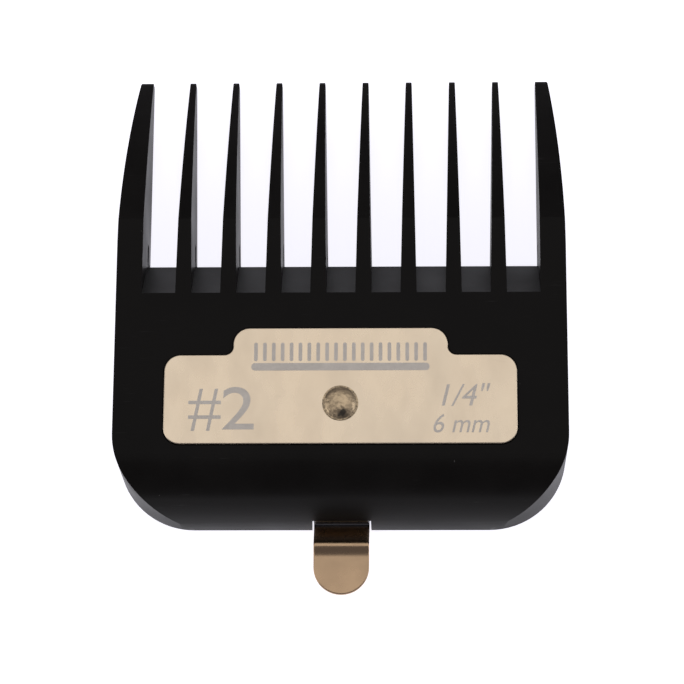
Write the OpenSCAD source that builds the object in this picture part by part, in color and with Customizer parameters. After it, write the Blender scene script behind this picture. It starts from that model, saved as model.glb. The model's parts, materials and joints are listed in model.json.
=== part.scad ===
// Clipper guard comb: a moulded comb tray with a riveted size plate and a sprung metal clip.
// +X is to the right, +Y points at the tooth tips and +Z out of the front face.
// The origin is at the bottom centre of the whole comb, which lies on its rim, plate up.

/* [Comb body] */
// Width across the straight sides
body_w = 49.5; // [44:0.5:60]
// Length from the start of the ramps back to the heel
body_len = 24.5; // [22:0.5:34]
// Depth from the front face to the rim
body_depth = 9.5; // [8.5:0.1:12]
// Cut length: depth of the blade seat under the front face
cut_len = 6; // [4.5:0.1:6.8]
// Thickness of the front wall, the ramps and the heel wall
wall = 1.5; // [1:0.1:2]
// Thickness of the two side walls
side_wall = 1.35; // [1:0.05:2]
// Plan radius of the two heel corners
corner_r = 8.5; // [6:0.5:12]
// Radius where the front face starts to roll down to the heel
roll_r = 5.2; // [3.5:0.1:5.8]
// Length of that roll along the front face
roll_run = 6.2; // [6:0.1:8]
// Radius of the lower heel, which runs into the rim
heel_r = 12; // [9:0.5:16]
// Length of the ramps between the teeth, down to the blade seat
ramp_run = 5; // [3:0.5:8]
// Width of the ribs that carry the blade
rib_w = 1.4; // [1:0.1:2]

/* [Teeth] */
// Reach of the teeth from the start of the ramps
tooth_len = 28.2; // [22:0.2:36]
// Number of inner teeth
inner_teeth = 8; // [4:2:10]
// Gap between each outer tooth and the inner tooth beside it, at their roots
side_gap = 3.68; // [3:0.02:4]
// Width of an inner tooth at its root
tooth_w = 1.78; // [1.4:0.02:2.4]
// Width of an inner tooth at its tip
tooth_tip_w = 0.68; // [0.64:0.02:1.2]
// Corner radius of the inner teeth's tips, seen from the front
tip_round = 0.3; // [0.1:0.02:0.32]
// Width of each outer tooth at its root
side_tooth_w = 2.85; // [2:0.05:3.6]
// Width of each outer tooth at its tip
side_tooth_tip_w = 1.5; // [1:0.05:2]
// Corner radius of the outer teeth's tips, seen from the front
side_tip_round = 0.45; // [0.1:0.05:0.5]
// How far the outer edge of an outer tooth tucks in at its tip
side_tuck = 1.44; // [0.6:0.02:2]
// Where the outer edges start to tuck in, from the start of the ramps
tuck_start = 4; // [2:0.5:8]
// Where the front edges start to curve back, from the start of the ramps
curve_start = 8.65; // [6:0.05:12]
// Share of their fall that the front edges turn down at once, where they start to curve
curve_turn = 0.72; // [0:0.02:0.8]
// Radius of the tooth tips, seen from the side
tip_r = 0.8; // [0.5:0.05:1.2]

/* [Blade pocket] */
// Reach of the slot that holds the blade's front edge, from the start of the ramps
slot_reach = 7.8; // [6.5:0.1:9]
// Height of that slot
slot_h = 1.3; // [1:0.1:1.6]
// How far each tooth's nib reaches back under the blade's edge
nib_reach = 1.8; // [1:0.1:2.4]

/* [Size plate] */
// Width of the plate
plate_w = 38.4; // [32:0.2:42]
// Height of the plate without its upper lobe
plate_h = 10.05; // [8:0.05:12]
// Width of the upper lobe
lobe_w = 23.4; // [16:0.2:28]
// Height of the upper lobe above the plate
lobe_h = 3.05; // [2:0.05:4]
// Thickness of the plate
plate_t = 0.5; // [0.4:0.05:0.8]
// Distance of the plate's upper edge from the start of the ramps
plate_gap = 4.15; // [3:0.05:6]
// Radius of the plate's corners
plate_r = 1.8; // [1:0.1:2.4]
// Radius of the inner corners beside the lobe
lobe_fillet = 0.95; // [0.5:0.05:1.2]
// Depth of the recess that the plate lies in
recess_d = 0.3; // [0.2:0.05:0.5]
// Gap round the plate in its recess
recess_gap = 0.12; // [0.05:0.01:0.3]

/* [Rivet] */
// Distance of the rivet's centre behind the start of the ramps
rivet_back = 12.7; // [11:0.1:14]
// Diameter of the shank
rivet_d = 2.4; // [2:0.1:3]
// Diameter of the domed head
rivet_head_d = 3.9; // [3.4:0.1:5]
// Height of the domed head
rivet_head_h = 0.5; // [0.3:0.05:0.8]
// Diameter of the closed end inside
rivet_tail_d = 3.8; // [3.2:0.1:5]
// Height of the closed end inside
rivet_tail_h = 0.7; // [0.5:0.05:1]
// Clearance round the shank
rivet_gap = 0.05; // [0.03:0.01:0.1]

/* [Clip] */
// Width of the spring strip
clip_w = 6.1; // [5:0.1:8]
// Thickness of the spring strip
clip_t = 0.5; // [0.4:0.05:0.7]
// How far the foot reaches in front of the rivet
foot_reach = 3.2; // [2.6:0.1:4]
// How far the thumb tab reaches past the heel
tab_reach = 7.75; // [6:0.05:10]
// Distance from the start of the roll to the bend where the strip leaves the front wall
bend_gap = 0.2; // [0.1:0.05:0.6]
// Distance from the heel to the shoulder above the catch
shoulder_in = 0.6; // [0.4:0.05:0.8]
// Height of the shoulder above the rim
shoulder_z = 2.1; // [1.9:0.05:2.6]
// Distance from the heel to the catch that holds the blade's heel
catch_in = 0.9; // [0.8:0.05:1.2]
// Height of the catch above the rim
catch_z = 0.55; // [0.4:0.05:0.7]
// Distance from the heel out to the crease where the strip starts to rise
crease_out = 0.1; // [0.1:0.05:0.6]
// Height of the crease above the rim
crease_z = 0.75; // [0.6:0.05:1]
// Distance from the heel out to the ridge at the root of the tab
ridge_out = 2.2; // [1.8:0.05:2.4]
// Height of the ridge above the rim
ridge_z = 2.5; // [2.3:0.05:3]
// Distance from the heel out to where the tab levels off
level_out = 3.2; // [3.1:0.05:3.6]
// Height of the level part of the tab above the rim
level_z = 2.12; // [1.9:0.02:2.2]
// Radius of the strip's bend at the shoulder
shoulder_r = 0.75; // [0.4:0.05:0.9]
// Radius of the strip's bend at the catch
catch_r = 0.4; // [0.35:0.05:0.5]
// Radius of the strip's bend at the crease
crease_r = 0.5; // [0.4:0.05:0.8]
// Radius of the strip's bend at the ridge
ridge_r = 0.6; // [0.4:0.05:0.8]
// Radius of the strip's bend where the tab levels off
level_r = 2.4; // [1:0.1:2.6]
// Gap between the foot and the bending arm
hinge_gap = 0.05; // [0.03:0.01:0.1]
// Side gap between the strip and the body
clip_gap = 0.2; // [0.1:0.05:0.4]
// Height of the window in the heel that the strip leaves through
window_h = 3.2; // [3:0.05:3.8]
// Room that the strip has under the window's roof
window_gap = 0.65; // [0.6:0.05:1]
// Height of the two rails that keep the foot straight
rail_h = 0.8; // [0.5:0.05:1.2]
// Width of the two rails
rail_w = 0.9; // [0.7:0.05:1.4]

/* [Hidden] */

$fn = 64;
far = 200;              // reach of cutting shapes, well past the comb
skin = 0.01;            // overrun of a cut through a face
black = "#1c1a19";
plate_gold = "#cdbfa9";
spring_tan = "#b39a7c";
rivet_tan = "#a8937a";

// places along Y
ramp_y = (body_len + tab_reach - tooth_len) / 2;
heel_y = ramp_y - body_len;
tip_y = ramp_y + tooth_len;
roll_y = heel_y + roll_run;
curve_y = ramp_y + curve_start;
rivet_y = ramp_y - rivet_back;
foot_y = rivet_y + foot_reach;
hinge_y = roll_y + bend_gap;
plate_y = ramp_y - plate_gap - lobe_h - plate_h;

// places along X
tooth_pitch = (body_w - 2 * (side_tooth_w + side_gap) - tooth_w) / (inner_teeth - 1);

// heights
seat_z = body_depth - cut_len;
inner_z = body_depth - wall;
plate_z = body_depth - recess_d;
hinge_z = inner_z - clip_t / 2;

// the heel's two arcs in the YZ plane: the lower one meets the heel plane and the upper one
roll_c = [roll_y, body_depth - roll_r];
heel_drop = sqrt(pow(heel_r - roll_r, 2) - pow(heel_y + heel_r - roll_y, 2));
heel_c = [heel_y + heel_r, roll_c[1] - heel_drop];

// the arc of the teeth's front edges, tangent to the tips, turned down by curve_angle at its start
tip_c = [tip_y - tip_r, tip_r];
arc_start = [curve_y, body_depth];
from_tip = arc_start - tip_c;
curve_angle = curve_turn * atan2(from_tip[1] - tip_r, -from_tip[0]);
curve_in = [-sin(curve_angle), -cos(curve_angle)];
arc_r = (pow(tip_r, 2) - from_tip * from_tip) / (2 * (from_tip * curve_in + tip_r));
arc_c = arc_start + arc_r * curve_in;
arc_steps = 24;         // facets along that arc
tip_steps = 10;         // facets round a tip

// the arc of the outer teeth's outer edges, in plan
tuck_y = ramp_y + tuck_start;
tuck_run = tip_y - tuck_y;
tuck_r = (pow(tuck_run, 2) + pow(side_tuck, 2)) / (2 * side_tuck);
tuck_steps = 12;        // facets along that arc

// the ramps' inner face is the outer one moved back by one wall
ramp_shift = wall * norm([ramp_run, cut_len]) / cut_len;

// the strip's centre line beyond the foot, in the YZ plane
clip_path = [
    [hinge_y, hinge_z],
    [heel_y + shoulder_in, shoulder_z],
    [heel_y + catch_in, catch_z],
    [heel_y - crease_out, crease_z],
    [heel_y - ridge_out, ridge_z],
    [heel_y - level_out, level_z],
    [heel_y - tab_reach, level_z]
];
arm_slope = (hinge_z - shoulder_z) / (hinge_y - heel_y - shoulder_in);
bend_steps = 8;         // facets in each bend of the strip and each corner of a tooth tip

// ---- shapes shared by the parts ----

function unit(v) = v / norm(v);
function left_of(v) = [-v[1], v[0]];

// points round the bend of radius r at path[i], on the path moved left by side
function bend_points(path, i, r, side) =
    let (
        a = unit(path[i] - path[i - 1]),
        b = unit(path[i + 1] - path[i]),
        turn = atan2(a[0] * b[1] - a[1] * b[0], a * b),
        hand = sign(turn),
        centre = path[i] - a * r * tan(abs(turn) / 2) + hand * r * left_of(a)
    )
    [for (k = [0 : bend_steps])
        let (
            angle = turn * k / bend_steps,
            out = -hand * [
                left_of(a)[0] * cos(angle) - left_of(a)[1] * sin(angle),
                left_of(a)[0] * sin(angle) + left_of(a)[1] * cos(angle)
            ]
        )
        centre + out * (r - hand * side)];

// a profile drawn in Y and Z, extruded along X about x = at
module side_extrude(width, at = 0)
    translate([at - width / 2, 0, 0]) rotate([90, 0, 90]) linear_extrude(width) children();

// side outline of the tray, its heel and front face moved in by inset
module tray_side(inset)
{
    translate([roll_y, -far]) square([far, far + body_depth - inset]);
    translate(roll_c) circle(roll_r - inset);
    intersection() {
        translate(heel_c) circle(heel_r - inset, $fn = 128);
        polygon([
            heel_c - [0, skin], heel_c, heel_c + far * (roll_c - heel_c),
            heel_c - [far, 0], heel_c - [far, skin]
        ]);
    }
    translate([heel_y + inset, -far]) square([roll_run - inset, far + heel_c[1]]);
}

// plan outline of the tray, moved in by inset, open towards the teeth
module tray_plan(inset)
{
    half = body_w / 2;
    translate([inset - half, heel_y + corner_r]) square([body_w - 2 * inset, far]);
    translate([corner_r - half, heel_y + inset]) square([body_w - 2 * corner_r, corner_r]);
    for (side = [-1, 1])
        translate([side * (half - corner_r), heel_y + corner_r]) circle(corner_r - inset);
}

// side outline in front of the ramps' slope, the slope moved back by shift
module behind_ramp(shift)
    polygon([
        [heel_y - far, seat_z], [heel_y - far, body_depth],
        [ramp_y - shift, body_depth], [ramp_y - shift + ramp_run, seat_z]
    ]);

// ---- comb body ----

module tray()
    intersection() {
        side_extrude(body_w) intersection() {
            tray_side(0);
            union() {
                behind_ramp(0);
                translate([heel_y, 0]) square([body_len + ramp_run, seat_z]);
            }
        }
        linear_extrude(body_depth) tray_plan(0);
    }

// the hollow under the front wall, down to the blade seat
module hair_space()
    intersection() {
        side_extrude(body_w) intersection() {
            tray_side(wall);
            behind_ramp(ramp_shift);
        }
        translate([0, 0, seat_z - skin]) linear_extrude(cut_len) tray_plan(side_wall);
    }

// the hollow that the blade fills, and the slots for its front edge
module blade_space()
    intersection() {
        side_extrude(body_w) {
            translate([heel_y, -skin]) square([slot_reach - nib_reach + body_len, seat_z + skin]);
            translate([ramp_y, seat_z - slot_h]) square([slot_reach, slot_h]);
        }
        side_extrude(body_w) tray_side(wall);
        translate([0, 0, -skin]) linear_extrude(body_depth) tray_plan(side_wall);
    }

// a rib from the front wall to the blade seat, starting at y = from
module rib(at, width, from)
    intersection() {
        side_extrude(width, at) intersection() {
            tray_side(wall / 2);
            behind_ramp(ramp_shift / 2);
            translate([from, 0]) square([far, far]);
        }
        linear_extrude(body_depth) tray_plan(side_wall / 2);
    }

module ribs()
{
    clear_x = clip_w / 2 + clip_gap + rail_w;
    for (i = [0 : inner_teeth - 1]) {
        x = (i - (inner_teeth - 1) / 2) * tooth_pitch;
        beside_clip = abs(x) - rib_w / 2 < clear_x;
        rib(x, rib_w, beside_clip ? foot_y + clip_gap : heel_y);
    }
    for (side = [-1, 1])
        rib(side * (body_w - side_tooth_w) / 2, side_tooth_w, heel_y);
}

// side outline of a tooth, from inside the tray to its round tip
module tooth_side()
{
    root_y = ramp_y - ramp_shift;
    start = 90 - curve_angle;                               // where the front arc starts
    end = atan2(tip_c[1] - arc_c[1], tip_c[0] - arc_c[0]);  // where the tip takes over
    polygon(concat(
        [[root_y, 0], [root_y, body_depth]],
        [for (k = [0 : arc_steps])
            let (a = start + (end - start) * k / arc_steps)
            arc_c + arc_r * [cos(a), sin(a)]],
        [for (k = [1 : tip_steps])
            let (a = end - (end + 90) * k / tip_steps)
            tip_c + tip_r * [cos(a), sin(a)]]
    ));
}

module inner_tooth(at)
{
    root_y = ramp_y - ramp_shift;
    outline = [
        [-tooth_w / 2, ramp_y], [-tooth_tip_w / 2, tip_y + skin],
        [tooth_tip_w / 2, tip_y + skin], [tooth_w / 2, ramp_y]
    ];
    intersection() {
        side_extrude(2 * tooth_w, at) tooth_side();
        translate([at, 0, 0]) linear_extrude(body_depth) polygon(concat(
            [[-tooth_w / 2, root_y], outline[0]],
            bend_points(outline, 1, tip_round, 0),
            bend_points(outline, 2, tip_round, 0),
            [outline[3], [tooth_w / 2, root_y]]
        ));
    }
}

module outer_tooth()
{
    half = body_w / 2;
    root_y = ramp_y - ramp_shift;
    tip_x = half - side_tuck - side_tooth_tip_w;
    outer_edge = [for (k = [tuck_steps : -1 : 0])
        let (run = (tuck_run + skin) * k / tuck_steps)
        [half - tuck_r + sqrt(pow(tuck_r, 2) - pow(run, 2)), tuck_y + run]];
    outline = concat([[half - side_tooth_w, ramp_y], [tip_x, tip_y + skin]], outer_edge);
    intersection() {
        side_extrude(2 * side_tooth_w, half) tooth_side();
        linear_extrude(body_depth) polygon(concat(
            [[half, root_y], [half - side_tooth_w, root_y], outline[0]],
            bend_points(outline, 1, side_tip_round, 0),
            bend_points(outline, 2, side_tip_round, 0),
            [for (i = [3 : len(outline) - 1]) outline[i]]
        ));
    }
}

// rails on the inner face beside the clip's foot
module rails()
    for (side = [-1, 1])
        translate([side * (clip_w / 2 + clip_gap + rail_w / 2) - rail_w / 2, hinge_y, inner_z - rail_h])
            cube([rail_w, foot_y - hinge_y, rail_h + wall / 2]);

// the window in the heel, its roof sloping up with the strip
module clip_window()
    side_extrude(clip_w + 2 * clip_gap) {
        roof_rise = (clip_t / 2 + window_gap) * norm([1, arm_slope]);
        lip_y = hinge_y - (hinge_z + roof_rise - window_h) / arm_slope;
        top_y = hinge_y - wall;
        polygon([
            [heel_y - wall, -skin], [heel_y - wall, window_h], [lip_y, window_h],
            [top_y, window_h + arm_slope * (top_y - lip_y)], [top_y, -skin]
        ]);
    }

module plate_recess()
    translate([0, 0, plate_z]) linear_extrude(body_depth) plate_outline(recess_gap);

module comb_body()
    color(black) difference() {
        union() {
            difference() {
                tray();
                hair_space();
            }
            ribs();
            rails();
            for (i = [0 : inner_teeth - 1])
                inner_tooth((i - (inner_teeth - 1) / 2) * tooth_pitch);
            outer_tooth();
            mirror([1, 0, 0]) outer_tooth();
        }
        blade_space();
        clip_window();
        plate_recess();
        translate([0, rivet_y, 0]) cylinder(h = far, d = rivet_d + 2 * rivet_gap);
    }

// ---- size plate ----

module rounded_rect(w, h, r)
{
    translate([-w / 2, r]) square([w, h - 2 * r]);
    translate([r - w / 2, 0]) square([w - 2 * r, h]);
    for (x = [r - w / 2, w / 2 - r], y = [r, h - r])
        translate([x, y]) circle(r);
}

// plan outline of the plate, moved out by grow
module plate_outline(grow)
    translate([0, plate_y]) {
        corner = plate_r + grow;
        translate([0, -grow]) {
            rounded_rect(plate_w + 2 * grow, plate_h + 2 * grow, corner);
            rounded_rect(lobe_w + 2 * grow, plate_h + lobe_h + 2 * grow, corner);
        }
        fillet = lobe_fillet - grow;
        for (side = [-1, 1])
            translate([side * (lobe_w / 2 + grow), plate_h + grow]) difference() {
                translate([-fillet / 2 + side * fillet / 2, -fillet]) square([fillet, 2 * fillet]);
                translate([side * fillet, fillet]) circle(fillet);
            }
    }

module name_plate()
    color(plate_gold) translate([0, 0, plate_z]) difference() {
        linear_extrude(plate_t) plate_outline(0);
        translate([0, rivet_y, -skin]) cylinder(h = plate_t + 2 * skin, d = rivet_d + 2 * rivet_gap);
    }

// ---- rivet ----

module rivet()
    color(rivet_tan) translate([0, rivet_y, 0]) {
        head_z = plate_z + plate_t;
        tail_z = inner_z - clip_t;
        dome_r = (pow(rivet_head_d / 2, 2) + pow(rivet_head_h, 2)) / (2 * rivet_head_h);
        translate([0, 0, tail_z]) cylinder(h = head_z - tail_z, d = rivet_d);
        translate([0, 0, tail_z - rivet_tail_h]) cylinder(h = rivet_tail_h, d = rivet_tail_d);
        translate([0, 0, head_z]) rotate_extrude() intersection() {
            square([rivet_head_d / 2, rivet_head_h]);
            translate([0, rivet_head_h - dome_r]) circle(dome_r, $fn = 256);
        }
    }

// ---- clip ----

module clip_foot()
    color(spring_tan) difference() {
        start_y = hinge_y + clip_t / 2 + hinge_gap;
        translate([-clip_w / 2, start_y, inner_z - clip_t]) cube([clip_w, foot_y - start_y, clip_t]);
        translate([0, rivet_y, 0]) cylinder(h = far, d = rivet_d + 2 * rivet_gap);
    }

function reversed(list) = [for (i = [len(list) - 1 : -1 : 0]) list[i]];

// the strip's round start, from its right face round to its left one
function strip_start(path, r) =
    let (back = atan2(path[0][1] - path[1][1], path[0][0] - path[1][0]))
    [for (k = [1 : bend_steps - 1])
        let (angle = back + 90 - 180 * k / bend_steps)
        path[0] + r * [cos(angle), sin(angle)]];

// one face of the strip: its start, its bends and its end
function strip_face(path, radii, side) =
    let (last = len(path) - 1)
    concat(
        [path[0] + side * left_of(unit(path[1] - path[0]))],
        [for (i = [1 : last - 1]) each bend_points(path, i, radii[i - 1], side)],
        [path[last] + side * left_of(unit(path[last] - path[last - 1]))]
    );

module clip_arm()
{
    radii = [shoulder_r, catch_r, crease_r, ridge_r, level_r];
    tab_y = heel_y - tab_reach + clip_w / 2;
    color(spring_tan) intersection() {
        side_extrude(2 * clip_w) polygon(concat(
            strip_face(clip_path, radii, clip_t / 2),
            reversed(strip_face(clip_path, radii, -clip_t / 2)),
            strip_start(clip_path, clip_t / 2)
        ));
        linear_extrude(body_depth) {
            translate([0, tab_y]) circle(clip_w / 2);
            translate([-clip_w / 2, tab_y]) square([clip_w, far]);
        }
    }
}

comb_body();
name_plate();
rivet();
clip_foot();
clip_arm();
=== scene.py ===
"""Looks of a clipper guard comb: black moulding, size plate, rivet and spring clip."""

import json
import math

import bmesh
import bpy
from mathutils import Matrix, Vector, noise


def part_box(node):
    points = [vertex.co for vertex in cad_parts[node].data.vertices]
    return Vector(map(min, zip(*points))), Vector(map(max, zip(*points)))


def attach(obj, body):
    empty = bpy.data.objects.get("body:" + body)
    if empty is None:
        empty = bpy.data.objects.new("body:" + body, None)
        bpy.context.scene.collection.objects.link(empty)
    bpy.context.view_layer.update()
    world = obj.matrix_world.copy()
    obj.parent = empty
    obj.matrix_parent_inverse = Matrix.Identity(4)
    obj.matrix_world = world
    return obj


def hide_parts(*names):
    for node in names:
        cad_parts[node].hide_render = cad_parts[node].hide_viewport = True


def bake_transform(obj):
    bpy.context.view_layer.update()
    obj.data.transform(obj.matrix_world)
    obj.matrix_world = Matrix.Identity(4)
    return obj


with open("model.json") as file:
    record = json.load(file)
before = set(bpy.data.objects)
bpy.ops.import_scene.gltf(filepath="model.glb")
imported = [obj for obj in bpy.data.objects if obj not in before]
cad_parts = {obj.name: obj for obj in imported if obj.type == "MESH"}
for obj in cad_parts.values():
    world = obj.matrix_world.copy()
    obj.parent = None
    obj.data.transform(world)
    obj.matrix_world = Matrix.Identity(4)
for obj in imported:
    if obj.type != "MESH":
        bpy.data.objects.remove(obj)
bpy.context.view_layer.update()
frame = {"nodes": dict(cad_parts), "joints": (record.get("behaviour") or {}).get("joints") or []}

MM = 0.001

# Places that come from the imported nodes, in metres.
BODY_LOW, BODY_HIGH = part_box("comb_body")
PLATE_LOW, PLATE_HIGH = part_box("name_plate")
RIVET_LOW, RIVET_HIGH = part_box("rivet")
FOOT_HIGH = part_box("clip_foot")[1]
ARM_LOW, ARM_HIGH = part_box("clip_arm")
HINGE = Vector(frame["joints"][0]["pos_m"])
HEEL_Y = BODY_LOW.y
RIVET_Y = (RIVET_LOW.y + RIVET_HIGH.y) / 2
PLATE_TOP = PLATE_HIGH.z

# Sizes of the design that the boxes don't hold.
BODY_EDGE = 0.14 * MM
PLATE_R = 1.8 * MM
PLATE_LOBE_H = 3.05 * MM
PLATE_LOBE_W = 23.4 * MM
PLATE_FILLET = 0.95 * MM
PLATE_EDGE = 0.09 * MM
STRIP_T = 0.5 * MM
STRIP_EDGE = 0.11 * MM
BEND_R = 1.1 * MM
FLAT_RIM = 0.06 * MM
# The strip's bends beyond the hinge: distance inside the heel, height and radius.
SHOULDER = (0.6 * MM, 2.1 * MM, 0.75 * MM)
CATCH = (0.9 * MM, 0.55 * MM, 0.4 * MM)
CREASE = (-0.1 * MM, 0.75 * MM, 0.5 * MM)
RIDGE = (-2.2 * MM, 2.5 * MM, 0.6 * MM)
LEVEL = (-3.2 * MM, 2.12 * MM, 2.4 * MM)
STRIP_BENDS = [SHOULDER, CATCH, CREASE, RIDGE, LEVEL]
RIVET_HEAD_H = 0.5 * MM
RIVET_TAIL_H = 0.7 * MM
RIVET_TAIL_R = 1.9 * MM
RIVET_SHANK_R = 1.2 * MM
MARK_RISE = 0.012 * MM
MARK_SINK = 0.02 * MM
FLOOR_GAP = 0.03 * MM


# ---- meshes ----


def add_object(name, bm, body, sharp_deg=35):
    """A smooth-shaded object from bm that rides on a CAD body."""
    bmesh.ops.recalc_face_normals(bm, faces=bm.faces)
    mesh = bpy.data.meshes.new(name)
    bm.to_mesh(mesh)
    bm.free()
    mesh.shade_smooth()
    mesh.set_sharp_from_angle(angle=math.radians(sharp_deg))
    made = bpy.data.objects.new(name, mesh)
    bpy.context.scene.collection.objects.link(made)
    if body:
        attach(made, body)
    return made


def weight_normals(made):
    """Keeps flat faces flat beside narrow rounded edges."""
    weighted = made.modifiers.new("weighted_normals", "WEIGHTED_NORMAL")
    weighted.keep_sharp = True
    weighted.weight = 90


def bridge(bm, ring_a, ring_b):
    """Quads between two closed rings of as many points."""
    count = len(ring_a)
    for i in range(count):
        j = (i + 1) % count
        bm.faces.new((ring_a[i], ring_a[j], ring_b[j], ring_b[i]))


def rounded_outline(corners, steps):
    """Points and outward normals of a closed outline with rounded corners.

    corners holds (x, y, radius), counterclockwise.
    """
    points = []
    count = len(corners)
    for i, (x, y, radius) in enumerate(corners):
        here = Vector((x, y))
        before = (here - Vector(corners[i - 1][:2])).normalized()
        after = (Vector(corners[(i + 1) % count][:2]) - here).normalized()
        turn = math.atan2(before.cross(after), before.dot(after))
        hand = math.copysign(1, turn)
        cut = radius * math.tan(abs(turn) / 2)
        left = Vector((-before.y, before.x))
        centre = here - before * cut + left * hand * radius
        for k in range(steps + 1):
            outward = Matrix.Rotation(turn * k / steps, 2) @ (-left)
            points.append((centre + outward * hand * radius, outward))
    return points


def edge_layers(thickness, edge, steps):
    """(inset, height) pairs up the rim of a sheet with two rounded edges."""
    half = thickness / 2
    layers = []
    for k in range(steps + 1):
        a = math.pi / 2 * k / steps
        layers.append((edge * (1 - math.sin(a)), -half + edge * (1 - math.cos(a))))
    layers.insert(0, (edge + FLAT_RIM, -half))
    layers += [(inset, -height) for inset, height in reversed(layers)]
    return layers


# ---- comb body ----


def refine_body(material):
    """The moulding keeps its CAD mesh; modifiers round its edges."""
    body = frame["nodes"]["comb_body"]
    body.data.materials.clear()
    body.data.materials.append(material)
    weld = body.modifiers.new("weld", "WELD")
    weld.merge_threshold = 0.001 * MM
    planar = body.modifiers.new("planar", "DECIMATE")
    planar.decimate_type = "DISSOLVE"
    planar.angle_limit = math.radians(0.5)
    bevel = body.modifiers.new("edges", "BEVEL")
    bevel.limit_method = "ANGLE"
    bevel.angle_limit = math.radians(15)
    bevel.width = BODY_EDGE
    bevel.segments = 2
    weight_normals(body)


# ---- size plate ----


def plate_corners():
    half = PLATE_HIGH.x
    lobe = PLATE_LOBE_W / 2
    low, top = PLATE_LOW.y, PLATE_HIGH.y
    step = top - PLATE_LOBE_H
    return [
        (-half, low, PLATE_R),
        (half, low, PLATE_R),
        (half, step, PLATE_R),
        (lobe, step, PLATE_FILLET),
        (lobe, top, PLATE_R),
        (-lobe, top, PLATE_R),
        (-lobe, step, PLATE_FILLET),
        (-half, step, PLATE_R),
    ]


def make_plate(material):
    outline = rounded_outline(plate_corners(), steps=12)
    middle = (PLATE_LOW.z + PLATE_HIGH.z) / 2
    thickness = PLATE_HIGH.z - PLATE_LOW.z
    bm = bmesh.new()
    rings = []
    for inset, height in edge_layers(thickness, PLATE_EDGE, steps=3):
        ring = [
            bm.verts.new((*(point - outward * inset), middle + height))
            for point, outward in outline
        ]
        rings.append(ring)
    for ring_a, ring_b in zip(rings, rings[1:]):
        bridge(bm, ring_a, ring_b)
    bm.faces.new(rings[0])
    bm.faces.new(rings[-1])
    plate = add_object("size_plate", bm, "comb")
    weight_normals(plate)
    plate.data.materials.append(material)
    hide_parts("name_plate")


def add_bar(bm, x, y, width, height):
    """A thin round-ended bar standing on the plate, its lower left corner at x, y."""
    roundness = 0.45
    radius = min(width, height) * roundness
    corners = [
        (x, y, radius),
        (x + width, y, radius),
        (x + width, y + height, radius),
        (x, y + height, radius),
    ]
    outline = rounded_outline(corners, steps=4)
    low = [bm.verts.new((*p, PLATE_TOP - MARK_SINK)) for p, _ in outline]
    high = [bm.verts.new((*p, PLATE_TOP + MARK_RISE)) for p, _ in outline]
    bridge(bm, low, high)
    bm.faces.new(low)
    bm.faces.new(high)


def comb_sign(bm):
    """A plain comb drawn in bars across the upper lobe, for decoration."""
    count = 20
    width = 19.4 * MM
    pitch = width / count
    tooth_w = 0.4 * MM
    spine_h = 0.85 * MM
    tooth_h = 2.1 * MM
    gap = 0.22 * MM
    drop = 4.85 * MM
    left = -width / 2
    base = PLATE_HIGH.y - drop
    add_bar(bm, left, base, width, spine_h)
    for i in range(count):
        x = left + pitch * (i + 0.5) - tooth_w / 2
        add_bar(bm, x, base + spine_h + gap, tooth_w, tooth_h)


def add_text(bm, words, left, base, height, width, slant, bold=0.0):
    """Adds raised characters to bm, fitted to a box from its lower left corner."""
    curve = bpy.data.curves.new("words", "FONT")
    curve.body = words
    curve.shear = slant
    curve.offset = bold
    curve.extrude = 1
    holder = bpy.data.objects.new("words", curve)
    bpy.context.scene.collection.objects.link(holder)
    bpy.context.view_layer.update()
    mesh = bpy.data.meshes.new_from_object(holder)
    bpy.data.objects.remove(holder)
    bpy.data.curves.remove(curve)
    xs = [v.co.x for v in mesh.vertices]
    ys = [v.co.y for v in mesh.vertices]
    grow_x = width / (max(xs) - min(xs))
    grow_y = height / (max(ys) - min(ys))
    for v in mesh.vertices:
        v.co.x = left + (v.co.x - min(xs)) * grow_x
        v.co.y = base + (v.co.y - min(ys)) * grow_y
        v.co.z = PLATE_TOP + (MARK_RISE if v.co.z > 0 else -MARK_SINK)
    bm.from_mesh(mesh)
    bpy.data.meshes.remove(mesh)


def make_marks(material):
    """The etched sizes and the comb sign."""
    bm = bmesh.new()
    comb_sign(bm)
    low, left, right = PLATE_LOW.y, PLATE_LOW.x, PLATE_HIGH.x
    upright, slanted = 0, 0.25
    thinner = -0.006
    merge = 0.0005 * MM
    add_text(bm, "#", left + 2.7 * MM, low + 1.45 * MM, 4.75 * MM, 3.55 * MM, upright, thinner)
    add_text(bm, "2", left + 6.4 * MM, low + 1.6 * MM, 4.8 * MM, 3.45 * MM, upright)
    add_text(bm, '1/4"', right - 8.2 * MM, low + 4.2 * MM, 2.55 * MM, 5.3 * MM, slanted)
    add_text(bm, "6 mm", right - 9.1 * MM, low + 1.2 * MM, 2.1 * MM, 6.1 * MM, slanted)
    bmesh.ops.remove_doubles(bm, verts=bm.verts, dist=merge)
    marks = add_object("size_marks", bm, "comb", sharp_deg=20)
    marks.data.materials.append(material)


# ---- rivet ----


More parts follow.
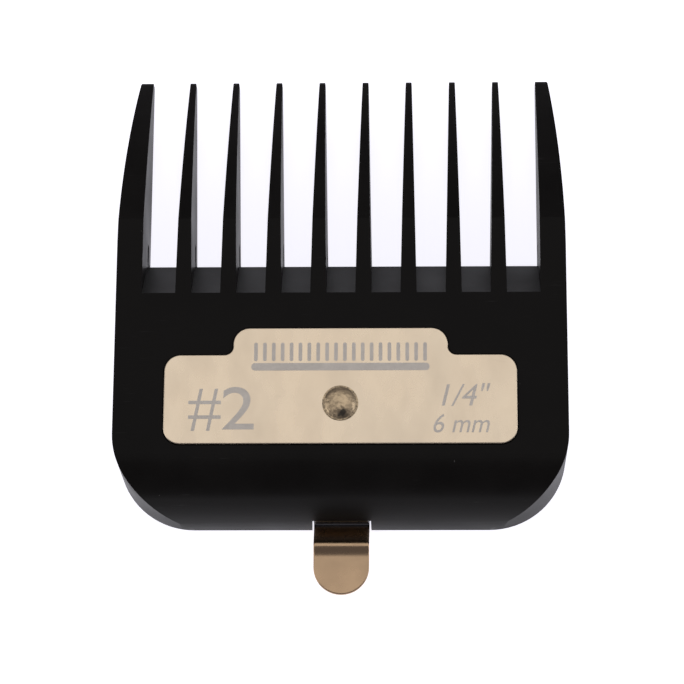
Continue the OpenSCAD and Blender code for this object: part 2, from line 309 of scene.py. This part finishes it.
def rivet_profile():
    """(radius, height, roughening) from the head's crown to the closed end's middle."""
    head_z = RIVET_HIGH.z - RIVET_HEAD_H
    tail_z = RIVET_LOW.z + RIVET_TAIL_H
    head_r = RIVET_HIGH.x
    crown_steps, crown_fall, crown_power = 14, 0.86, 2.6
    rim_fall, rim_rough, rim_taper = 0.72, 0.3, 0.99
    tail_steps, tail_round_w, tail_round_h = 6, 0.3 * MM, 0.2 * MM
    dimple = [(1.1 * MM, 0.02 * MM), (0.8 * MM, 0.16 * MM), (0.35 * MM, 0.24 * MM)]
    rows = []
    for k in range(1, crown_steps + 1):
        share = k / crown_steps
        fall = RIVET_HEAD_H * crown_fall * share**crown_power
        rows.append((head_r * share, RIVET_HIGH.z - fall, 1))
    rows[-1] = (head_r, RIVET_HIGH.z - RIVET_HEAD_H * rim_fall, rim_rough)
    rows.append((head_r * rim_taper, head_z, 0))
    rows.append((RIVET_SHANK_R, head_z, 0))
    rows.append((RIVET_SHANK_R, tail_z, 0))
    rows.append((RIVET_TAIL_R, tail_z, 0))
    for k in range(tail_steps + 1):
        a = math.pi / 2 * k / tail_steps
        radius = RIVET_TAIL_R - tail_round_w * (1 - math.cos(a))
        rows.append((radius, RIVET_LOW.z + tail_round_h * (1 - math.sin(a)), 0))
    rows += [(radius, RIVET_LOW.z + height, 0) for radius, height in dimple]
    return rows


def dent(x, y):
    """How far the hammered crown lies below its smooth shape at x, y."""
    pit = noise.noise(Vector((x, y, 0)) / (0.34 * MM)) - 0.35
    wave = noise.noise(Vector((x, y, 5 * MM)) / (1.1 * MM)) - 0.4
    return 0.035 * MM * min(pit, 0) + 0.045 * MM * min(wave, 0)


def make_rivet(material):
    around = 72
    crown_drop = 0.01 * MM
    dimple_h = 0.26 * MM
    bm = bmesh.new()
    rings = []
    for radius, height, rough in rivet_profile():
        ring = []
        for k in range(around):
            a = 2 * math.pi * k / around
            x = radius * math.cos(a)
            y = radius * math.sin(a)
            ring.append(bm.verts.new((x, RIVET_Y + y, height + rough * dent(x, y))))
        rings.append(ring)
    for ring_a, ring_b in zip(rings, rings[1:]):
        bridge(bm, ring_a, ring_b)
    crown = (rings[0], RIVET_HIGH.z - crown_drop)
    dimple = (rings[-1], RIVET_LOW.z + dimple_h)
    for ring, height in (crown, dimple):
        tip = bm.verts.new((0, RIVET_Y, height))
        for k in range(around):
            bm.faces.new((ring[k], ring[(k + 1) % around], tip))
    rivet = add_object("plate_rivet", bm, "comb", sharp_deg=50)
    rivet.data.materials.append(material)
    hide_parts("rivet")


# ---- clip ----


def strip_runs():
    """The strip's centre line in Y and Z, as straight runs and bends with their lengths."""
    points = [
        Vector((FOOT_HIGH.y, HINGE.z)),
        Vector((HINGE.y, HINGE.z)),
        *[Vector((HEEL_Y + inward, height)) for inward, height, _ in STRIP_BENDS],
        Vector((ARM_LOW.y, LEVEL[1])),
    ]
    radii = [BEND_R] + [radius for _, _, radius in STRIP_BENDS]
    runs = []
    start = points[0]
    for i, radius in enumerate(radii, start=1):
        before = (points[i] - points[i - 1]).normalized()
        after = (points[i + 1] - points[i]).normalized()
        turn = math.atan2(before.cross(after), before.dot(after))
        cut = radius * math.tan(abs(turn) / 2)
        end = points[i] - before * cut
        runs.append(("line", start, before, (end - start).length, 0))
        runs.append(("bend", end, before, radius * abs(turn), turn))
        start = points[i] + after * cut
    last = (points[-1] - start).normalized()
    runs.append(("line", start, last, (points[-1] - start).length, 0))
    return runs


def strip_place(runs, along):
    """The centre line's point and direction at a distance from its start."""
    for run in runs:
        kind, start, heading, length, turn = run
        if along <= length or run is runs[-1]:
            break
        along -= length
    if kind == "line":
        return start + heading * along, heading
    radius = length / abs(turn)
    hand = math.copysign(1, turn)
    left = Vector((-heading.y, heading.x))
    centre = start + left * hand * radius
    swing = Matrix.Rotation(turn * along / length, 2)
    return centre + swing @ (start - centre), swing @ heading


def strip_stations(runs, half_width):
    """Distances along the strip up to the tab's round end, and the whole length."""
    spacing = 0.6 * MM
    bend_step = math.radians(9)
    clear = 0.2 * MM
    stations = []
    along = 0
    total = sum(run[3] for run in runs)
    for kind, _, _, length, turn in runs:
        steps = max(2, round(length / spacing))
        if kind == "bend":
            steps = max(6, round(abs(turn) / bend_step))
        stations += [along + length * k / steps for k in range(steps)]
        along += length
    return [s for s in stations if s < total - half_width - clear], total


def make_clip(material):
    """The whole strip, from under the rivet to the thumb tab, as one piece."""
    half = ARM_HIGH.x
    runs = strip_runs()
    stations, total = strip_stations(runs, half)
    round_steps = 14
    blunt = 0.35    # part of a step left square at the very tip
    bm = bmesh.new()
    layers = []
    for inset, height in edge_layers(STRIP_T, STRIP_EDGE, steps=3):
        left, right = [], []
        reach = half - inset
        rows = [(max(s, inset), reach) for s in stations]
        for k in range(round_steps + 1):
            a = math.pi / 2 * k / (round_steps + blunt)
            rows.append((total - half + reach * math.sin(a), reach * math.cos(a)))
        for along, wide in rows:
            place, heading = strip_place(runs, along)
            normal = Vector((heading.y, -heading.x))
            spot = place + normal * height
            left.append(bm.verts.new((-wide, spot.x, spot.y)))
            right.append(bm.verts.new((wide, spot.x, spot.y)))
        layers.append((left, right))
    for (left_a, right_a), (left_b, right_b) in zip(layers, layers[1:]):
        bridge(bm, left_a + right_a[::-1], left_b + right_b[::-1])
    for left, right in (layers[0], layers[-1]):
        for i in range(len(left) - 1):
            bm.faces.new((left[i], left[i + 1], right[i + 1], right[i]))
    clip = add_object("spring_clip", bm, None)
    weight_normals(clip)
    clip.data.materials.append(material)
    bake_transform(clip)
    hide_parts("clip_foot", "clip_arm")


# ---- materials ----


def new_tree(name):
    made = bpy.data.materials.new(name)
    made.use_nodes = True
    return made, made.node_tree, made.node_tree.nodes["Principled BSDF"]


def add_node(tree, kind, inputs=None, **settings):
    """A node with its settings, and its inputs linked or set."""
    node = tree.nodes.new(kind)
    for name, value in settings.items():
        setattr(node, name, value)
    for name, value in (inputs or {}).items():
        if isinstance(value, bpy.types.NodeSocket):
            tree.links.new(value, node.inputs[name])
        else:
            node.inputs[name].default_value = value
    return node


def places(tree, stretch=(1, 1, 1), turn=0):
    """Object coordinates in metres, stretched and turned about Z."""
    source = add_node(tree, "ShaderNodeTexCoord").outputs["Object"]
    inputs = {"Vector": source, "Scale": stretch, "Rotation": (0, 0, math.radians(turn))}
    return add_node(tree, "ShaderNodeMapping", inputs).outputs["Vector"]


def cloud(tree, where, size, detail=3.0, roughness=0.55):
    """Noise with features of about size metres, from 0 to 1."""
    inputs = {"Vector": where, "Scale": 1 / size, "Detail": detail, "Roughness": roughness}
    return add_node(tree, "ShaderNodeTexNoise", inputs).outputs["Fac"]


def spread(tree, value, low, high, to_low=0.0, to_high=1.0):
    """Maps low..high to to_low..to_high, clamped."""
    inputs = {
        "Value": value,
        "From Min": low,
        "From Max": high,
        "To Min": to_low,
        "To Max": to_high,
    }
    return add_node(tree, "ShaderNodeMapRange", inputs, clamp=True).outputs["Result"]


def math_of(tree, operation, a, b):
    return add_node(tree, "ShaderNodeMath", {0: a, 1: b}, operation=operation).outputs[0]


def vector_math(tree, operation, a, b=(0, 0, 0)):
    return add_node(tree, "ShaderNodeVectorMath", {0: a, 1: b}, operation=operation)


def blend_colours(tree, share, a, b):
    """Colour a where share is 0, b where it is 1."""
    inputs = {"Factor": share, "A": a, "B": b}
    node = tree.nodes.new("ShaderNodeMix")
    node.data_type = "RGBA"
    for name, value in inputs.items():
        socket = [s for s in node.inputs if s.name == name and s.enabled][0]
        if isinstance(value, bpy.types.NodeSocket):
            tree.links.new(value, socket)
        else:
            socket.default_value = value
    return [s for s in node.outputs if s.enabled][0]


def relief(tree, height, distance, strength=1.0, onto=None):
    """Bump of a height field whose full range is distance metres."""
    inputs = {"Height": height, "Distance": distance, "Strength": strength}
    if onto:
        inputs["Normal"] = onto
    return add_node(tree, "ShaderNodeBump", inputs).outputs["Normal"]


def specks(tree, where, size, radius, share):
    """Sparse round specks: one in a cell of the given size, in a share of the cells."""
    inputs = {"Vector": where, "Scale": 1 / size}
    cells = add_node(tree, "ShaderNodeTexVoronoi", inputs)
    reach = radius / size
    dot = spread(tree, cells.outputs["Distance"], reach * 0.5, reach, 1.0, 0.0)
    parts = add_node(tree, "ShaderNodeSeparateColor", {"Color": cells.outputs["Color"]})
    chosen = math_of(tree, "GREATER_THAN", parts.outputs[0], 1 - share)
    return math_of(tree, "MULTIPLY", dot, chosen)


def scratches(tree, turn, density):
    """Fine straight scratches in one direction, in patches."""
    lines = cloud(tree, places(tree, (0.02, 1, 0.02), turn), 0.09 * MM, detail=2.0)
    patches = cloud(tree, places(tree), 5 * MM, detail=2.0)
    fine = spread(tree, lines, 0.66, 0.72)
    near = spread(tree, patches, 0.62 - density, 0.7 - density)
    return math_of(tree, "MULTIPLY", fine, near)


def plug_in(tree, shader, **values):
    for name, value in values.items():
        socket = shader.inputs[name.replace("_", " ")]
        if isinstance(value, bpy.types.NodeSocket):
            tree.links.new(value, socket)
        else:
            socket.default_value = value


def black_plastic():
    """Satin moulded plastic with a fine grain, faint scratches and dust."""
    made, tree, shader = new_tree("black_plastic")
    flow = cloud(tree, places(tree), 9 * MM)
    grain = cloud(tree, places(tree), 0.12 * MM, detail=2.0)
    dust = specks(tree, places(tree), 1.3 * MM, 0.05 * MM, 0.12)
    lint = specks(tree, places(tree, (1, 0.3, 1), 38), 2.6 * MM, 0.06 * MM, 0.1)
    worn = math_of(tree, "ADD", scratches(tree, 24, 0.05), scratches(tree, -57, 0.0))
    black = (0.0062, 0.0055, 0.0051, 1)
    soft_black = (0.0088, 0.0079, 0.0073, 1)
    scuff = (0.06, 0.058, 0.056, 1)
    dust_grey = (0.25, 0.24, 0.23, 1)
    base = blend_colours(tree, spread(tree, flow, 0.35, 0.7), black, soft_black)
    base = blend_colours(tree, math_of(tree, "MULTIPLY", worn, 0.35), base, scuff)
    marks = math_of(tree, "MAXIMUM", dust, lint)
    base = blend_colours(tree, math_of(tree, "MULTIPLY", marks, 0.45), base, dust_grey)
    gloss = spread(tree, flow, 0.3, 0.75, 0.34, 0.46)
    gloss = math_of(tree, "ADD", gloss, math_of(tree, "MULTIPLY", worn, 0.2))
    normal = relief(tree, grain, 0.006 * MM)
    normal = relief(tree, marks, 0.02 * MM, onto=normal)
    plug_in(tree, shader, Base_Color=base, Roughness=gloss, Normal=normal)
    plug_in(tree, shader, Specular_IOR_Level=0.06)
    return made


def plate_metal():
    """Champagne coated metal with fine drawn lines and faint handling marks."""
    made, tree, shader = new_tree("plate_metal")
    tint = cloud(tree, places(tree), 12 * MM)
    drawn = cloud(tree, places(tree, (0.03, 1, 1)), 0.06 * MM, detail=3.0)
    smear = cloud(tree, places(tree, (1, 0.5, 1), 30), 3 * MM, detail=4.0)
    fine = scratches(tree, 12, 0.03)
    dots = specks(tree, places(tree), 1.8 * MM, 0.06 * MM, 0.12)
    champagne = (0.665, 0.545, 0.405, 1)
    cooler = (0.65, 0.545, 0.415, 1)
    fleck = (0.2, 0.15, 0.1, 1)
    base = blend_colours(tree, spread(tree, tint, 0.3, 0.7), champagne, cooler)
    base = blend_colours(tree, math_of(tree, "MULTIPLY", dots, 0.5), base, fleck)
    gloss = spread(tree, smear, 0.35, 0.7, 0.24, 0.34)
    gloss = math_of(tree, "ADD", gloss, math_of(tree, "MULTIPLY", fine, 0.15))
    height = math_of(tree, "SUBTRACT", drawn, math_of(tree, "MULTIPLY", fine, 0.6))
    normal = relief(tree, height, 0.0012 * MM)
    plug_in(tree, shader, Base_Color=base, Roughness=gloss, Normal=normal, Metallic=1.0)
    return made


def etched_metal():
    """The marks: a pale, matt etch in the plate's coat."""
    made, tree, shader = new_tree("etched_metal")
    grit = cloud(tree, places(tree), 0.08 * MM, detail=3.0)
    patch = cloud(tree, places(tree), 1.5 * MM)
    dull = (0.54, 0.50, 0.455, 1)
    pale = (0.60, 0.555, 0.505, 1)
    base = blend_colours(tree, spread(tree, patch, 0.3, 0.7), dull, pale)
    gloss = spread(tree, grit, 0.3, 0.7, 0.42, 0.6)
    normal = relief(tree, grit, 0.004 * MM)
    plug_in(tree, shader, Base_Color=base, Roughness=gloss, Normal=normal, Metallic=0.85)
    return made


def rivet_metal():
    """Tan plated metal with dark veins, one darker patch on the heel side of the crown, and
    darker towards the edge.
    """
    made, tree, shader = new_tree("rivet_metal")
    blotch = cloud(tree, places(tree), 0.9 * MM, detail=5.0, roughness=0.65)
    pits = cloud(tree, places(tree), 0.22 * MM, detail=3.0)
    dark_patch_at = (0.25 * MM, -1.1 * MM, 0)
    tan = (0.50, 0.385, 0.25, 1)
    dark_tone = (0.06, 0.053, 0.045, 1)
    source = add_node(tree, "ShaderNodeTexCoord").outputs["Object"]
    centred = vector_math(tree, "SUBTRACT", source, (0, RIVET_Y, 0)).outputs[0]
    flat = vector_math(tree, "MULTIPLY", centred, (1, 1, 0)).outputs[0]
    radius = vector_math(tree, "LENGTH", flat).outputs["Value"]
    # Darker towards the rim of the head, in patches.
    rim = spread(tree, radius, 1.35 * MM, 1.95 * MM)
    # One darker patch on the heel side of the crown.
    dark_patch_distance = vector_math(tree, "DISTANCE", flat, dark_patch_at).outputs["Value"]
    near_dark_patch = spread(tree, dark_patch_distance, 0.2 * MM, 0.75 * MM, 1.0, 0.0)
    veins = math_of(tree, "MULTIPLY", spread(tree, blotch, 0.54, 0.7), 0.55)
    edge = math_of(tree, "MULTIPLY", rim, spread(tree, pits, 0.35, 0.6, 0.0, 0.7))
    patch = math_of(tree, "MULTIPLY", near_dark_patch, spread(tree, blotch, 0.3, 0.55))
    dark = math_of(tree, "ADD", math_of(tree, "ADD", veins, edge), patch)
    dark = math_of(tree, "MINIMUM", dark, 0.95)
    base = blend_colours(tree, dark, tan, dark_tone)
    gloss = spread(tree, blotch, 0.4, 0.7, 0.28, 0.55)
    normal = relief(tree, pits, 0.02 * MM)
    plug_in(tree, shader, Base_Color=base, Roughness=gloss, Normal=normal, Metallic=1.0)
    return made


def spring_metal():
    """Warm-toned strip, rolled lengthwise, with painted shade: a darker, cooler grey from the
    heel inwards, under the body.
    """
    made, tree, shader = new_tree("spring_metal")
    rolled = cloud(tree, places(tree, (1, 0.03, 1)), 0.05 * MM, detail=3.0)
    tint = cloud(tree, places(tree), 4 * MM)
    marks = specks(tree, places(tree), 0.9 * MM, 0.05 * MM, 0.2)
    fine = scratches(tree, 80, 0.05)
    beige = (0.42, 0.29, 0.18, 1)
    darker = (0.39, 0.27, 0.17, 1)
    fleck = (0.16, 0.12, 0.09, 1)
    painted_shade_grey = (0.2, 0.2, 0.21, 1)
    base = blend_colours(tree, spread(tree, tint, 0.3, 0.7), beige, darker)
    base = blend_colours(tree, math_of(tree, "MULTIPLY", marks, 0.5), base, fleck)
    along = add_node(tree, "ShaderNodeSeparateXYZ", {"Vector": places(tree)}).outputs["Y"]
    # Painted shade: the strip turns a darker, cooler grey where it runs in under the body's
    # heel.
    inward = spread(tree, along, HEEL_Y, HEEL_Y + 0.3 * MM)
    base = blend_colours(tree, inward, base, painted_shade_grey)
    gloss = spread(tree, tint, 0.3, 0.7, 0.22, 0.32)
    gloss = math_of(tree, "ADD", gloss, math_of(tree, "MULTIPLY", fine, 0.2))
    normal = relief(tree, rolled, 0.0012 * MM)
    plug_in(tree, shader, Base_Color=base, Roughness=gloss, Normal=normal, Metallic=1.0)
    return made


def floor_paint():
    """Pale even paint with a glow, as of a lit table."""
    made, tree, shader = new_tree("floor_paint")
    tone = cloud(tree, places(tree), 60 * MM)
    pale, paler = (0.90, 0.90, 0.905, 1), (0.92, 0.92, 0.925, 1)
    glow = (0.93, 0.92, 1.0, 1)
    base = blend_colours(tree, tone, pale, paler)
    plug_in(tree, shader, Base_Color=base, Roughness=0.6, Specular_IOR_Level=0.2)
    plug_in(tree, shader, Emission_Color=glow, Emission_Strength=0.9)
    return made


# ---- stage ----


def make_floor(material):
    half = 1.5
    bm = bmesh.new()
    bmesh.ops.create_grid(bm, x_segments=4, y_segments=4, size=half)
    bmesh.ops.translate(bm, vec=(0, 0, -FLOOR_GAP), verts=bm.verts)
    floor = add_object("floor", bm, None)
    floor.data.materials.append(material)


def make_light(name, place, aim, size, watts, colour):
    data = bpy.data.lights.new(name, "AREA")
    data.shape = "RECTANGLE"
    data.size, data.size_y = size
    data.energy = watts
    data.color = colour
    lamp = bpy.data.objects.new(name, data)
    lamp.location = place
    lamp.rotation_euler = (Vector(aim) - Vector(place)).to_track_quat("-Z", "Y").to_euler()
    bpy.context.scene.collection.objects.link(lamp)


def make_world():
    """Faint ambient light on the object, and a pale backdrop for the camera."""
    world = bpy.data.worlds.new("studio")
    bpy.context.scene.world = world
    world.use_nodes = True
    tree = world.node_tree
    ambient = tree.nodes["Background"]
    ambient.inputs["Color"].default_value = (0.84, 0.82, 0.92, 1)
    ambient.inputs["Strength"].default_value = 0.22
    seen = tree.nodes.new("ShaderNodeBackground")
    seen.inputs["Color"].default_value = (0.93, 0.93, 0.935, 1)
    ray = tree.nodes.new("ShaderNodeLightPath")
    mix = tree.nodes.new("ShaderNodeMixShader")
    tree.links.new(ray.outputs["Is Camera Ray"], mix.inputs[0])
    tree.links.new(ambient.outputs[0], mix.inputs[1])
    tree.links.new(seen.outputs[0], mix.inputs[2])
    tree.links.new(mix.outputs[0], tree.nodes["World Output"].inputs["Surface"])


def make_lights():
    """A soft box above, towards the teeth, and a weaker one far out on either side."""
    middle, heelward = (0, 0, 0), (0, -0.005, 0)
    wide, square = (0.5, 0.42), (0.5, 0.5)
    top_watts, side_watts = 0.62, 1.4
    make_light("top_box", (0.0, 0.19, 0.55), heelward, wide, top_watts, (1, 0.99, 0.97))
    make_light("left_box", (-0.62, -0.05, 0.42), middle, square, side_watts, (1, 0.99, 0.98))
    make_light("right_box", (0.62, 0.05, 0.42), middle, square, side_watts, (0.96, 0.97, 1))


def make_camera():
    """Looks down on the front face, from a little towards the heel."""
    data = bpy.data.cameras.new("camera")
    data.sensor_width = 36
    data.lens = 162
    data.clip_start = 0.01
    data.clip_end = 20
    camera = bpy.data.objects.new("camera", data)
    tilt = Matrix.Identity(3)
    for angle, axis in ((0.302, "X"), (0.027, "Y"), (-0.003, "Z")):
        tilt = tilt @ Matrix.Rotation(angle, 3, axis)
    offset = Vector((0.127, -5.452, 337.663)) * MM
    tooth_reach = 28.2 * MM
    aim = Vector((0, BODY_HIGH.y - tooth_reach, BODY_HIGH.z))
    camera.matrix_world = Matrix.Translation(tilt @ offset + aim) @ tilt.to_4x4()
    bpy.context.scene.collection.objects.link(camera)
    bpy.context.scene.camera = camera


refine_body(black_plastic())
make_plate(plate_metal())
make_marks(etched_metal())
make_rivet(rivet_metal())
make_clip(spring_metal())
make_floor(floor_paint())
make_world()
make_lights()
make_camera()
bpy.context.scene.view_settings.view_transform = "Standard"
